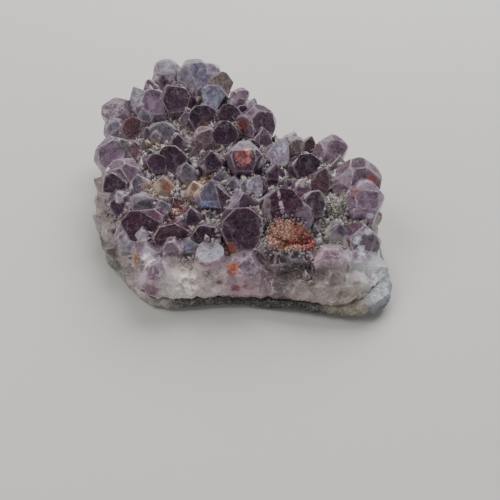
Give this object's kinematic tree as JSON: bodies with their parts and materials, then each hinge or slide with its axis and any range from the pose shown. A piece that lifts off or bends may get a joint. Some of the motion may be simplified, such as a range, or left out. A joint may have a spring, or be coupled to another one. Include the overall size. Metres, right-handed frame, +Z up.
{
  "type": "rough amethyst crystal cluster",
  "caption": "Hand specimen of rough amethyst: purple six-sided quartz points crowded on a whitish crust over a thin flat-based slab of grey-green host rock.",
  "frame": {"origin": "middle of the specimen's box, on the surface that it rests on", "axes": "+Z up through the crust, crystals pointing up; the broken front edge, where both layers show, is at -Y; +X to the right of someone who looks at that edge"},
  "size_m": [0.1079, 0.109, 0.0352],
  "materials": {
    "amethyst": "glassy purple quartz, cloudy and lightly dusted",
    "host_rock": "rough, matt, broken surface"
  },
  "bodies": {
    "root": {"amethyst_crystals": "amethyst", "matrix_rock": "host_rock"}
  },
  "joints": []
}
